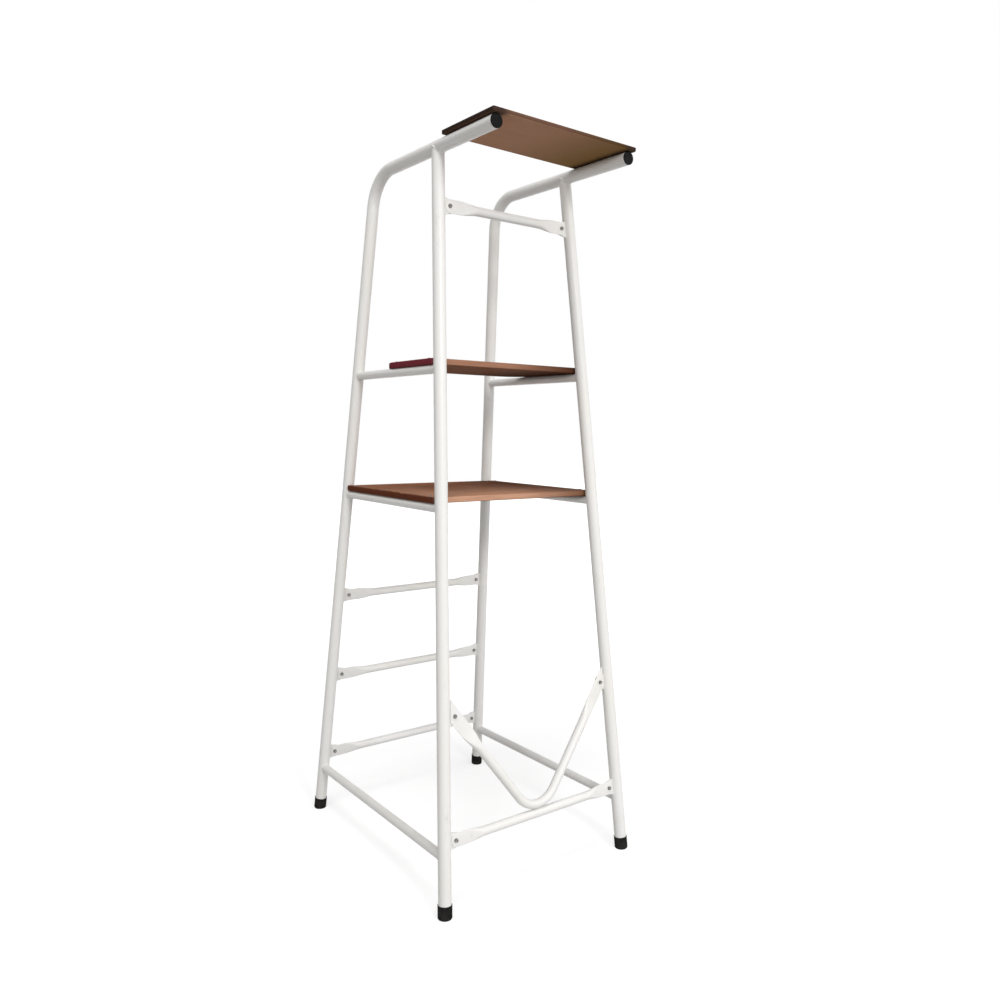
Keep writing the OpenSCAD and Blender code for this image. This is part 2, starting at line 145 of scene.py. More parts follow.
# %% [markdown]
# ## Writing shader nodes shortly
# A material is a graph of nodes. A few helpers keep the cells short. `feed`
# gives a socket either a number or another node's output, and `put` adds a node
# and feeds its inputs by name. `maths` and its three short forms add one step of
# arithmetic. A socket knows the tree it belongs to, so a helper that is given
# one finds its tree with `tree_of`.

# %% Node helpers
def feed(socket, value):
    if isinstance(value, bpy.types.NodeSocket):
        socket.id_data.links.new(value, socket)
    else:
        socket.default_value = value


def tree_of(*values):
    """The tree of the first socket among some values."""
    return next(value.id_data for value in values if isinstance(value, bpy.types.NodeSocket))


def put(tree, kind, settings=None, **inputs):
    """Adds a node, sets its options, and fills inputs named with _ for a space."""
    node = tree.nodes.new(kind)
    for name, value in (settings or {}).items():
        setattr(node, name, value)
    for name, value in inputs.items():
        feed(node.inputs[name.replace("_", " ")], value)
    return node


def arithmetic(kind, values, **settings):
    node = put(tree_of(*values), kind, settings)
    for socket, value in zip(node.inputs, values):
        feed(socket, value)
    return node.outputs


def maths(operation, *values, clamp=False):
    return arithmetic("ShaderNodeMath", values, operation=operation, use_clamp=clamp)[0]


def vector_maths(operation, *values):
    return arithmetic("ShaderNodeVectorMath", values, operation=operation)


def plus(first, second):
    return maths("ADD", first, second)


def minus(first, second):
    return maths("SUBTRACT", first, second)


def times(first, second):
    return maths("MULTIPLY", first, second)


print("arithmetic helpers ready")

# %% [markdown]
# The mix node has sockets for numbers, vectors and colours under the same names,
# so `mix_colours` picks the colour ones by their place in the list. `ramp` is
# how a mask gets a soft limit: a noise or a direction goes in, and what lies
# between two values fades from 0 to 1. `noise` gives clouds, and `axes` takes a
# vector apart.

# %% Helpers for colours and masks
def mix_colours(share, first, second, blend="MIX"):
    node = put(tree_of(share, first, second), "ShaderNodeMix", {"data_type": "RGBA", "blend_type": blend})
    for index, value in ((0, share), (6, first), (7, second)):
        feed(node.inputs[index], value)
    return node.outputs[2]


def ramp(value, low, high):
    """0 below low, 1 above high, and a soft step between them."""
    smooth = {"interpolation_type": "SMOOTHSTEP"}
    node = put(value.id_data, "ShaderNodeMapRange", smooth, Value=value, From_Min=low, From_Max=high)
    return node.outputs["Result"]


def noise(place, scale, **settings):
    """A cloudy value from 0 to 1."""
    return put(place.id_data, "ShaderNodeTexNoise", Vector=place, Scale=scale, **settings).outputs["Fac"]


def axes(vector):
    """The X, Y and Z of a vector."""
    return put(vector.id_data, "ShaderNodeSeparateXYZ", Vector=vector).outputs


print("mask helpers ready")

# %% [markdown]
# ## Node groups
# An effect that several finishes share is built once as a node group with named
# inputs and outputs. `new_group` starts one and hands back its own ends, and
# `place_group` puts it into a material with that material's values.

# %% Group helpers
SOCKET_KINDS = {4: "NodeSocketColor", 3: "NodeSocketVector", 1: "NodeSocketFloat"}


def new_group(name, outputs, **inputs):
    """A node group with inputs of the values' own kinds. Only outputs named Colour are colours."""
    tree = bpy.data.node_groups.new(name, "ShaderNodeTree")
    for socket_name, value in inputs.items():
        kind = SOCKET_KINDS[len(value) if isinstance(value, tuple) else 1]
        socket = tree.interface.new_socket(socket_name.replace("_", " "), in_out="INPUT", socket_type=kind)
        socket.default_value = value
    for socket_name in outputs:
        kind = SOCKET_KINDS[4 if socket_name == "Colour" else 1]
        tree.interface.new_socket(socket_name, in_out="OUTPUT", socket_type=kind)
    return tree, tree.nodes.new("NodeGroupInput").outputs, tree.nodes.new("NodeGroupOutput").inputs


def place_group(tree, group, **inputs):
    return put(tree, "ShaderNodeGroup", {"node_tree": group}, **inputs).outputs


print("group helpers ready")

# %% [markdown]
# ## Group: dust
# Dust settles where a surface faces up, and more of it near the floor. On the
# real chair it is a faint grey film on rungs, boards and feet. The group reads
# the surface's direction and its place, breaks the film up with noise, and
# gives back the covered colour and a mask, which also makes the spot duller.

# %% Dust group
DUST_COLOUR = (0.42, 0.39, 0.35, 1)
DUST_HEIGHT = 0.35
FLOOR_DUST = 0.5

dust, g_in, g_out = new_group(
    "dust", ("Colour", "Mask"), Colour=(0.5, 0.5, 0.5, 1), Amount=0.3, Scale=9.0)
geometry = put(dust, "ShaderNodeNewGeometry").outputs
upward = ramp(axes(geometry["Normal"])["Z"], 0.45, 1.0)
near_floor = minus(1.0, ramp(axes(geometry["Position"])["Z"], 0.0, DUST_HEIGHT))
film = maths("MAXIMUM", upward, times(near_floor, FLOOR_DUST))
clouds = noise(geometry["Position"], g_in["Scale"], Detail=6.0, Roughness=0.62)
broken = times(film, ramp(clouds, 0.38, 0.68))
mask = maths("MULTIPLY", broken, g_in["Amount"], clamp=True)
feed(g_out["Colour"], mix_colours(mask, g_in["Colour"], DUST_COLOUR))
feed(g_out["Mask"], mask)
print("dust group:", len(dust.nodes), "nodes")

# %% [markdown]
# ## Group: scuffs
# Shoes, hands and transport leave short dull marks. They are long and thin, so
# a noise stretched along one direction and cut at a high value gives them, and
# a second, larger noise keeps them in patches. The mask is used on paint,
# boards, rubber and plastic with different strengths.

# %% Scuff group
scuffs, g_in, g_out = new_group(
    "scuffs", ("Mask",), Stretch=(1.0, 1.0, 1.0), Scale=60.0, Amount=0.5)
place = put(scuffs, "ShaderNodeTexCoord").outputs["Object"]
stretched = vector_maths("MULTIPLY", place, g_in["Stretch"])["Vector"]
marks = ramp(noise(stretched, g_in["Scale"], Detail=4.0, Roughness=0.7), 0.6, 0.72)
patches = ramp(noise(place, 5.0), 0.45, 0.65)
cut = times(marks, patches)
feed(g_out["Mask"], maths("MULTIPLY", cut, g_in["Amount"], clamp=True))
print("scuff group:", len(scuffs.nodes), "nodes")

# %% [markdown]
# ## Group: stove enamel
# The tubes are sprayed white and baked. Close up, such paint has a faint
# waviness like orange peel, and its white drifts a little between warm and
# cold. The waviness is a height for a bump node, so the tube stays round and
# only its gloss ripples.

# %% Enamel group
enamel, g_in, g_out = new_group(
    "stove enamel", ("Colour", "Height", "Drift"),
    Warm=(0.8, 0.8, 0.78, 1), Cold=(0.8, 0.8, 0.8, 1), Peel=420.0)
place = put(enamel, "ShaderNodeTexCoord").outputs["Object"]
drift = noise(place, 3.2, Detail=3.0, Roughness=0.55)
peel = noise(place, g_in["Peel"], Detail=2.0, Roughness=0.4)
sag = noise(place, 38.0)
white = mix_colours(ramp(drift, 0.35, 0.65), g_in["Warm"], g_in["Cold"])
feed(g_out["Colour"], white)
feed(g_out["Height"], plus(times(peel, 0.4), sag))
feed(g_out["Drift"], drift)
print("enamel group:", len(enamel.nodes), "nodes")

# %% [markdown]
# ## Group: wood
# The boards are stained plywood under varnish. Their face veneer shows long
# soft bands, finer streaks and short dark pores along the grain. All three are
# noise that is stretched along the board, at three sizes.

# %% Wood group: grain of the face
# Some inputs of the wood group set painted shade at the ends and towards the right, and painted light on the
# underside and the front.
wood, g_in, g_out = new_group(
    "wood", ("Colour", "Height", "Pores"),
    Light=(0.3, 0.16, 0.1, 1), Dark=(0.15, 0.07, 0.04, 1), Edge=(0.3, 0.16, 0.1, 1),
    End=(0.1, 0.05, 0.03, 1), Soaked_From=0.42,
    Pale=(0.6, 0.34, 0.22, 1), Bare=0.0, Trodden=0.0,
    Deepening=(0.4, 0.38, 0.35, 1), Deepens_From=0.5, Plies=9.0)
coordinates = put(wood, "ShaderNodeTexCoord").outputs


def along_grain(stretch, scale, **settings):
    stretched = put(wood, "ShaderNodeMapping", Vector=coordinates["Object"], Scale=stretch).outputs[0]
    return noise(stretched, scale, **settings)


bands = along_grain((1.4, 11.0, 11.0), 2.2, Detail=5.0, Roughness=0.55, Distortion=0.9)
streaks = along_grain((6.0, 160.0, 160.0), 1.0, Detail=3.0, Roughness=0.6)
pores = ramp(along_grain((26.0, 900.0, 900.0), 1.0), 0.6, 0.74)
tone = plus(times(bands, 0.65), times(streaks, 0.35))
face = mix_colours(ramp(tone, 0.3, 0.7), g_in["Dark"], g_in["Light"])
face = mix_colours(times(pores, 0.35), face, g_in["Dark"])
print("grain of the face:", len(wood.nodes), "nodes")

# %% [markdown]
# The underside is painted paler, a painted light from below. The upper face is painted paler towards the
# front edge than at the rear, a painted light and shade. The surface's own direction tells the faces from the
# edges. The board's own box gives the share of its depth, so the painted light fits a board of any size.

# %% Wood group: painted light on the underside and the front
normal = axes(coordinates["Normal"])
share = axes(coordinates["Generated"])
# Painted light: the underside is painted paler, as if lit from below.
underside = ramp(times(normal["Z"], -1.0), 0.5, 0.9)
face = mix_colours(times(underside, g_in["Bare"]), face, g_in["Pale"])
# Painted light and shade: the upper face is paler towards the front edge and darker towards the rear.
upper = ramp(normal["Z"], 0.5, 0.9)
to_front = minus(1.0, ramp(share["Y"], 0.0, 0.85))
front_light = times(times(to_front, upper), g_in["Trodden"])
face = mix_colours(front_light, face, g_in["Pale"])
print("with pale places:", len(wood.nodes), "nodes")

# %% [markdown]
# The long edges show the thin layers of the plywood, darker where the glue lines are. The end faces, cut
# across the grain, are darker, partly from stain soaked into the end grain and partly as painted shade. A
# painted shade also creeps a little way in from both ends, where legs and arms shade the board, and a second
# painted shade darkens the board towards the right. The bands of the grain make both limits wander.

# %% Wood group: edges, and painted shade at the ends and towards the right
side = minus(1.0, ramp(maths("ABSOLUTE", normal["Z"]), 0.35, 0.75))
layer = maths("PINGPONG", times(share["Z"], g_in["Plies"]), 1.0)
glue = times(ramp(layer, 0.72, 0.98), 0.22)
streaked = mix_colours(0.25, g_in["Edge"], g_in["Dark"])
edge = mix_colours(ramp(streaks, 0.35, 0.65), g_in["Edge"], streaked)
edge = mix_colours(glue, edge, g_in["Dark"])
board = mix_colours(side, face, edge)


def past_limit(value, wander, limit, end):
    """How far a value is past its limit, as a share of the way to the end."""
    moved = plus(value, times(minus(bands, 0.5), wander))
    return maths("DIVIDE", minus(moved, limit), minus(end, limit))


# Painted shade: the colour is multiplied darker towards the board's right end.
right_shade = ramp(past_limit(share["X"], 0.12, g_in["Deepens From"], 1.0), 0.0, 0.9)
board = mix_colours(right_shade, board, g_in["Deepening"], "MULTIPLY")
# Painted shade: a dark band creeps in from both ends, where legs and arms shade the board.
from_middle = maths("ABSOLUTE", minus(share["X"], 0.5))
end_shade = times(ramp(past_limit(from_middle, 0.06, g_in["Soaked From"], 0.5), 0.0, 0.6), 0.85)
# The end faces are darker: stain soaked into the end grain, and painted shade on the side edges.
end_grain_and_shade = times(ramp(maths("ABSOLUTE", normal["X"]), 0.5, 0.9), side)
board = mix_colours(maths("MAXIMUM", end_shade, end_grain_and_shade), board, g_in["End"])
grain_height = minus(times(streaks, 0.5), pores)
feed(g_out["Colour"], board)
feed(g_out["Height"], minus(grain_height, times(side, glue)))
feed(g_out["Pores"], pores)
print("wood group:", len(wood.nodes), "nodes")

# %% [markdown]
# ## Group: fine grain
# Moulded rubber, moulded plastic and plated steel all have a skin that is rough
# on a scale of tenths of a millimetre. One group serves the three: it mixes two
# tones by a cloudy noise and gives a speckle for the bump.

# %% Fine grain group
grain, g_in, g_out = new_group(
    "fine grain", ("Colour", "Height", "Clouds"),
    First=(0.03, 0.03, 0.03, 1), Second=(0.05, 0.05, 0.05, 1), Scale=900.0, Clouds=40.0)
place = put(grain, "ShaderNodeTexCoord").outputs["Object"]
cloud = noise(place, g_in["Clouds"], Detail=5.0, Roughness=0.6)
tones = mix_colours(ramp(cloud, 0.35, 0.68), g_in["First"], g_in["Second"])
feed(g_out["Colour"], tones)
feed(g_out["Height"], noise(place, g_in["Scale"], Detail=1.0))
feed(g_out["Clouds"], cloud)
print("fine grain group:", len(grain.nodes), "nodes")

# %% [markdown]
# ## Finishes
# Each finish is one material around a Principled shader. `finish` starts it,
# and `dress` wires the colour, the roughness and the bump that the groups give.
# What stays the same all over, such as metalness or the index of refraction, is
# set on the shader's own sockets.

# %% Finish helpers
def finish(name, **constants):
    material = bpy.data.materials.new(name)
    material.use_nodes = True
    tree = material.node_tree
    shader = tree.nodes["Principled BSDF"]
    for socket_name, value in constants.items():
        shader.inputs[socket_name.replace("_", " ")].default_value = value
    return material, tree, shader


def dress(shader, colour, roughness, height, strength, distance):
    bump = put(shader.id_data, "ShaderNodeBump", Height=height, Strength=strength, Distance=distance)
    feed(shader.inputs["Base Color"], colour)
    feed(shader.inputs["Roughness"], roughness)
    feed(shader.inputs["Normal"], bump.outputs["Normal"])


def roughness_of(base, *terms):
    """A roughness that starts at base and changes with masks: (mask, change)."""
    total = base
    for mask, change in terms:
        total = plus(total, times(mask, change))
    return maths("MINIMUM", total, 1.0)


print("finish helpers ready")

# %% [markdown]
# ## White paint
# All tubes, tabs and weld beads carry the same glossy white. It is never pure
# white: a value near 0.8 leaves room for the light to shape the round tubes.
# Scuffs bring out a greyer tone, and a little dust lies on upper sides.

# %% White paint
white_paint, tree, shader = finish(
    "white paint", IOR=1.5, Specular_IOR_Level=0.3, Coat_Weight=0.1, Coat_Roughness=0.15)
skin = place_group(tree, enamel, Warm=(0.835, 0.815, 0.775, 1), Cold=(0.835, 0.823, 0.803, 1))
marks = place_group(tree, scuffs, Stretch=(1.0, 1.0, 0.35), Scale=46.0, Amount=0.4)["Mask"]
marked = mix_colours(marks, skin["Colour"], (0.60, 0.59, 0.57, 1))
dusted = place_group(tree, dust, Colour=marked, Amount=0.16)
rough = roughness_of(0.32, (skin["Drift"], 0.1), (marks, 0.25), (dusted["Mask"], 0.6))
dress(shader, dusted["Colour"], rough, skin["Height"], strength=0.12, distance=0.6 * MM)
print("white paint:", len(tree.nodes), "nodes")

# %% [markdown]
# ## Varnished boards
# The three boards are the same kind of plywood with stain of slightly different strength, and the platform is
# a red brown. Each board carries painted shade at its ends and towards its right: wine red at the seat's ends
# and nearly black at the top board's ends. The top board's underside is painted paler as a painted light from
# below, and the upper faces of platform and seat are painted paler towards the front. Their varnish is thin
# and satin, so only a faint coat is left for the gloss. One function makes all three, so a change to the
# varnish reaches every board.

# %% Varnished boards
def varnished(name, scuffed, **stain):
    material, tree, shader = finish(name, Specular_IOR_Level=0.0, Coat_Weight=0.03, Coat_Roughness=0.3)
    board = place_group(tree, wood, **stain)
    marks = place_group(tree, scuffs, Stretch=(0.5, 1.0, 1.0), Scale=70.0, Amount=scuffed)["Mask"]
    marked = mix_colours(marks, board["Colour"], (0.34, 0.24, 0.18, 1))
    dusted = place_group(tree, dust, Colour=marked, Amount=0.12, Scale=14.0)
    rough = roughness_of(0.48, (board["Pores"], 0.18), (marks, 0.25), (dusted["Mask"], 0.5))
    dress(shader, dusted["Colour"], rough, board["Height"], strength=0.35, distance=0.3 * MM)
    print(name + ":", len(tree.nodes), "nodes")
    return material


# Each board's end colour and its darkening towards the right are painted shade; its paler underside and paler
# front are painted light.
platform_board = varnished(
    "platform board", scuffed=0.4, Plies=9.0, Trodden=0.5,
    Light=(0.33, 0.138, 0.07, 1), Dark=(0.23, 0.087, 0.042, 1), Edge=(0.6, 0.34, 0.225, 1),
    End=(0.13, 0.04, 0.02, 1), Soaked_From=0.485,
    Deepening=(0.4, 0.34, 0.3, 1), Deepens_From=0.5)
seat_board = varnished(
    "seat board", scuffed=0.3, Plies=9.0, Bare=0.1, Trodden=0.2,
    Light=(0.28, 0.13, 0.072, 1), Dark=(0.19, 0.082, 0.042, 1), Edge=(0.39, 0.195, 0.125, 1),
    End=(0.2, 0.032, 0.045, 1), Soaked_From=0.45,
    Deepening=(0.27, 0.22, 0.19, 1), Deepens_From=0.42)
top_board = varnished(
    "top board", scuffed=0.2, Plies=7.0, Bare=0.6,
    Light=(0.34, 0.175, 0.105, 1), Dark=(0.24, 0.115, 0.065, 1), Edge=(0.13, 0.07, 0.048, 1),
    End=(0.04, 0.025, 0.02, 1), Soaked_From=0.385,
    Deepening=(0.55, 0.58, 0.36, 1), Deepens_From=0.35)

# %% [markdown]
# ## Rubber and plastic
# The feet are soft black rubber, dull and a little grey from the floor. The
# plugs in the arms are harder and shinier moulded plastic. Both use the fine
# grain group, with a coarser grain on the rubber.

# %% Rubber and plastic
foot_rubber, tree, shader = finish("foot rubber", IOR=1.5, Specular_IOR_Level=0.06)
skin = place_group(
    tree, grain, First=(0.008, 0.008, 0.008, 1), Second=(0.014, 0.0135, 0.013, 1), Scale=1400.0, Clouds=55.0)
marks = place_group(tree, scuffs, Scale=90.0, Amount=0.4)["Mask"]
marked = mix_colours(marks, skin["Colour"], (0.05, 0.047, 0.044, 1))
dusted = place_group(tree, dust, Colour=marked, Amount=0.07, Scale=30.0)
rough = roughness_of(0.7, (skin["Clouds"], 0.2), (dusted["Mask"], 0.3))
dress(shader, dusted["Colour"], rough, skin["Height"], strength=0.4, distance=0.2 * MM)

plug_plastic, tree, shader = finish("plug plastic", IOR=1.5, Specular_IOR_Level=0.08)
skin = place_group(
    tree, grain, First=(0.006, 0.006, 0.0065, 1), Second=(0.010, 0.010, 0.0105, 1), Scale=2200.0, Clouds=80.0)
marks = place_group(tree, scuffs, Scale=120.0, Amount=0.3)["Mask"]
marked = mix_colours(marks, skin["Colour"], (0.04, 0.04, 0.04, 1))
rough = roughness_of(0.4, (skin["Clouds"], 0.15), (marks, 0.25))
dress(shader, marked, rough, skin["Height"], strength=0.25, distance=0.1 * MM)
print("black finishes:", foot_rubber.name, "and", plug_plastic.name)

# %% [markdown]
# ## Plated steel
# Bolts, nuts, washers and screws are zinc plated and have gone dull. Plated
# steel is a metal, so its colour tints the reflections. Clouds of tarnish make
# it uneven, and tarnish is both darker and rougher.

# %% Plated steel
def plated(name, bright, dull):
    material, tree, shader = finish(name, Metallic=1.0)
    skin = place_group(tree, grain, First=bright, Second=dull, Scale=1800.0, Clouds=210.0)
    marks = place_group(tree, scuffs, Scale=260.0, Amount=0.4)["Mask"]
    marked = mix_colours(marks, skin["Colour"], dull)
    dusted = place_group(tree, dust, Colour=marked, Amount=0.3, Scale=40.0)
    rough = roughness_of(0.34, (skin["Clouds"], 0.25), (marks, 0.15), (dusted["Mask"], 0.5))
    dress(shader, dusted["Colour"], rough, skin["Height"], strength=0.2, distance=0.1 * MM)
    return material


bolt_steel = plated("bolt steel", bright=(0.36, 0.35, 0.33, 1), dull=(0.15, 0.14, 0.13, 1))
screw_steel = plated("screw steel", bright=(0.27, 0.255, 0.235, 1), dull=(0.13, 0.12, 0.11, 1))
print("plated finishes:", bolt_steel.name, "and", screw_steel.name)

# %% [markdown]
# ## Finishes on the frame's own pieces
# Legs, rails, tabs, feet and plugs keep their exact solids, because a tube, a
# coped end and a moulded cap are right as they come. Only their material slot
# is filled. The bars, boards and fasteners are replaced further down.

# %% Dress the kept pieces
SIDES = ("left", "right")
PAINTED = ("rear_leg", "front_leg", "base_rail", "platform_rail", "seat_rail", "tabs_front", "tabs_rear")
kept = {
    white_paint: [f"{part}_{side}" for part in PAINTED for side in SIDES],
    foot_rubber: [f"foot_{end}_{side}" for end in ("front", "rear") for side in SIDES],
    plug_plastic: [f"arm_plug_{side}" for side in SIDES],
}
for material, names in kept.items():
    for name in names:
        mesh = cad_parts[name].data
        mesh.materials.clear()
        mesh.materials.append(material)
    print(material.name, "on", len(names), "pieces")

# %% [markdown]
# ## Making a piece
# Every new piece is a mesh made in code. `make_piece` turns a bmesh into an object with its finish, rides it
# on the stand, and hides the solids it stands for. Edges sharper than the given angle stay crisp, and all
# others are shaded round. `skin_rings` is how most shapes here are made: rings of points, joined by faces one
# after another.

# %% Piece helpers
def make_piece(name, shape, material, stands_for=(), place=None, crisp=50):
    mesh = bpy.data.meshes.new(name)
    bmesh.ops.recalc_face_normals(shape, faces=shape.faces)
    shape.to_mesh(mesh)
    shape.free()
    mesh.materials.append(material)
    mesh.polygons.foreach_set("use_smooth", [True] * len(mesh.polygons))
    mesh.set_sharp_from_angle(angle=math.radians(crisp))
    piece = bpy.data.objects.new(name, mesh)
    if place is not None:
        piece.matrix_world = place
    bpy.context.scene.collection.objects.link(piece)
    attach(piece, "root")
    if stands_for:
        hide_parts(*stands_for)


def skin_rings(shape, rings, loop=False):
    """Skins rings of equal count. A loop joins the last to the first, else both ends are closed."""
    rows = [[shape.verts.new(point) for point in ring] for ring in rings]
    pairs = list(zip(rows, rows[1:]))
    if loop:
        pairs.append((rows[-1], rows[0]))
    for first, second in pairs:
        for i in range(len(first)):
            j = (i + 1) % len(first)
            shape.faces.new((first[i], first[j], second[j], second[i]))
    if not loop:
        shape.faces.new(rows[0][::-1])
        shape.faces.new(rows[-1])


print("piece helpers ready")

# %% [markdown]
# ## Boards with eased edges
# A sawn board has its edges eased with a router, or they would splinter. The
# outline is drawn with its round corners, lifted to the board's thickness, and
# its upper and lower rims are bevelled. A narrow inset inside each rim keeps
# the large faces shaded flat.

# %% Board helpers
BOARD_EASE = 3 * MM
BOARD_CORNER = 4 * MM
EASE_STEPS = 4
CORNER_STEPS = 16


def board_outline(width, depth, front_corner, rear_corner):
    """Points once round a board whose front edge lies on Y = 0."""
    corners = (
        (width / 2, 0, front_corner, -90),
        (width / 2, depth, rear_corner, 0),
        (-width / 2, depth, rear_corner, 90),
        (-width / 2, 0, front_corner, 180),
    )
    points = []
    for x, y, radius, start in corners:
        cx = x - math.copysign(radius, x)
        cy = y + radius if y == 0 else y - radius
        for step in range(CORNER_STEPS + 1):
            angle = math.radians(start + 90 * step / CORNER_STEPS)
            points.append((cx + radius * math.cos(angle), cy + radius * math.sin(angle)))
    return points


def board_shape(outline, thickness, ease):
    shape = bmesh.new()
    lower = shape.faces.new([shape.verts.new((x, y, 0)) for x, y in outline])
    made = bmesh.ops.extrude_face_region(shape, geom=[lower])["geom"]
    lifted = [v for v in made if isinstance(v, bmesh.types.BMVert)]
    bmesh.ops.translate(shape, vec=(0, 0, thickness), verts=lifted)
    rims = [e for e in shape.edges if abs(e.verts[0].co.z - e.verts[1].co.z) < thickness / 2]
    bmesh.ops.bevel(shape, geom=rims, offset=ease, segments=EASE_STEPS, profile=0.5, affect="EDGES")
    large = sorted(shape.faces, key=lambda f: f.calc_area())[-2:]
    bmesh.ops.inset_individual(shape, faces=large, thickness=ease / EASE_STEPS)
    return shape


print("board edges eased by", BOARD_EASE / MM, "mm")

# %% [markdown]
# ## Platform and seat
# Both boards lie level on their rails between the legs, so their boxes in the
# frame say where they are and how large. The seat's two free corners are cut
# round, so that nobody catches a knee on them.

# %% Platform and seat
SEAT_CORNER = 100 * MM


def level_board(node, name, material, rear_corner):
    low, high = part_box(node)
    size = high - low
    outline = board_outline(size.x, size.y, BOARD_CORNER, rear_corner)
    place = Matrix.Translation(((low.x + high.x) / 2, low.y, low.z))
    make_piece(name, board_shape(outline, size.z, BOARD_EASE), material, [node], place, crisp=60)
    print(name, "in mm:", [round(v / MM) for v in size])


level_board("platform", "platform_plank", platform_board, BOARD_CORNER)
level_board("seat_board", "seat_plank", seat_board, SEAT_CORNER)

# %% [markdown]
# ## Top board
# The top board follows the arms, which fall a little towards their front ends,
# so it is placed by the arms' own direction and not by its box. It reaches past
# the arms at both sides and past their plugs at the front.

# %% Top board
PLUG_RIM = 4 * MM
TOP_LIP = 10 * MM
TOP_SIDE = 20 * MM
TOP_W = 2 * (leg_x(ARM_Z) + TOP_SIDE)
TOP_D = 250 * MM
TOP_T = 12 * MM
TOP_EASE = 2.5 * MM
TOP_FRONT = ARM_REACH + PLUG_RIM + TOP_LIP
TOP_UNDER = LEG_R + REST_GAP

on_arms = Matrix.Translation((0, CENTRE_Y, ARM_Z)) @ Matrix.Rotation(ARM_TILT, 4, "X")
outline = board_outline(TOP_W, TOP_D, BOARD_CORNER, BOARD_CORNER)
place = on_arms @ Matrix.Translation((0, -TOP_FRONT, TOP_UNDER))
shape = board_shape(outline, TOP_T, TOP_EASE)
make_piece("top_plank", shape, top_board, ["top_board"], place, crisp=60)
print("top board in mm:", round(TOP_W / MM), "x", round(TOP_D / MM))

# %% [markdown]
# ## Planes of the legs
# Cross bars, rungs and brace all lie in the plane through the two front legs or
# the two rear legs. In such a plane X runs across the stand, Z up the legs, and
# minus Y points to the side of the tabs that the bars lie on: the outside at the
# front, the inside at the rear. A matrix for each plane turns these plain
# numbers into places on the stand. Each plane has tabs at three heights.

# %% Planes of the legs
FRONT = Matrix.Translation((0, CENTRE_Y - FOOT_Y, 0)) @ Matrix.Rotation(-TILT, 4, "X")
REAR = Matrix.Translation((0, CENTRE_Y + FOOT_Y, 0)) @ Matrix.Rotation(TILT, 4, "X")
UP = 1 / math.cos(TILT)
TAB_ROWS = (("front", FRONT, (LOWER_BAR_Z, BRACE_BOLT_Z, UPPER_BAR_Z)), ("rear", REAR, RUNG_Z))
print("slope of the planes in degrees:", round(math.degrees(TILT), 2))

# %% [markdown]
# ## Pressed tube ends
# A bar's end is squeezed flat in a press so that a bolt can go through it. The
# tube keeps its girth, so as it gets thinner it gets wider. One section drawn
# as a slot covers both states: a circle while its width equals its thickness,
# and a flat strap at the end. Skinning many such sections with a soft change
# between them gives the smooth flare that a press leaves.

# %% Pressed tube helpers
BAR_FLAT = 36 * MM
BAR_FLARE = 64 * MM
BAR_EDGE = 13 * MM
FLAT_T = 2 * BAR_WALL
END_CORNER = 14 * MM
SECTION_POINTS = 40
FLARE_STEPS = 18
END_STEPS = 6


def pressed_width(thickness):
    return thickness + math.pi * (2 * BAR_R - thickness) / 2


def slot_section(centre, across, through, thickness, width):
    """A slot of points: width along across, thickness along through."""
    ring = []
    for i in range(SECTION_POINTS):
        angle = 2 * math.pi * (i + 0.5) / SECTION_POINTS
        side = 1 if math.cos(angle) > 0 else -1
        u = side * (width - thickness) / 2 + thickness / 2 * math.cos(angle)
        v = thickness / 2 * math.sin(angle)
        ring.append(centre + across * u + through * v)
    return ring


def flare_steps(flare):
    """Distance into the flare, thickness and width, from round to flat."""
    for step in range(FLARE_STEPS + 1):
        u = step / FLARE_STEPS
        thickness = 2 * BAR_R - u * u * (3 - 2 * u) * (2 * BAR_R - FLAT_T)
        yield u * flare, thickness, pressed_width(thickness)


def rounded_end(length):
    """Distance along the flat and how far its sides come in at the corners."""
    yield length - END_CORNER, 0.0
    for step in range(1, END_STEPS + 1):
        angle = math.pi / 2 * step / END_STEPS
        yield length - END_CORNER + END_CORNER * math.sin(angle), END_CORNER * (1 - math.cos(angle))


print("a pressed end in mm:", round(pressed_width(FLAT_T) / MM, 1), "by", round(FLAT_T / MM, 1))

# %% [markdown]
# ## Cross bars and rungs
# The two cross bars and the three rungs are one design in five lengths. The
# sections run from the middle out to one end, and are mirrored for the other.
# The bar lies against the tabs, so its axis is half a tab and one wall away
# from the plane of the legs.

# %% Cross bars and rungs
BAR_AXIS_Y = -(TAB_T / 2 + BAR_WALL)
BESIDE_TABS = Vector((0, 1, 0))


def end_sections(start, along, across, flare, flat):
    """Sections of one pressed end, from where the tube stops being round."""
    rings = []
    for s, thickness, width in flare_steps(flare):
        rings.append(slot_section(start + along * s, across, BESIDE_TABS, thickness, width))
    for s, inset in rounded_end(flat):
        width = pressed_width(FLAT_T) - 2 * inset
        rings.append(slot_section(start + along * (flare + s), across, BESIDE_TABS, FLAT_T, width))
    return rings


def cross_bar(name, node, plane, z):
    half = bolt_x(z) - BAR_FLAT - BAR_FLARE
    upright = Vector((0, 0, 1))
    ends = []
    for side in (-1, 1):
        start = Vector((side * half, BAR_AXIS_Y, z * UP))
        ends.append(end_sections(start, Vector((side, 0, 0)), upright, BAR_FLARE, BAR_FLAT + BAR_EDGE))
    shape = bmesh.new()
    skin_rings(shape, [[plane @ point for point in ring] for ring in ends[0][::-1] + ends[1]])
    make_piece(name, shape, white_paint, [node])
    print(name, "from bolt to bolt in mm:", round(2 * bolt_x(z) / MM))


cross_bar("lower_bar_tube", "lower_bar", FRONT, LOWER_BAR_Z)
cross_bar("upper_bar_tube", "upper_bar", FRONT, UPPER_BAR_Z)
for node, z in zip(("rung_low", "rung_middle", "rung_high"), RUNG_Z):
    cross_bar(node + "_tube", node, REAR, z)

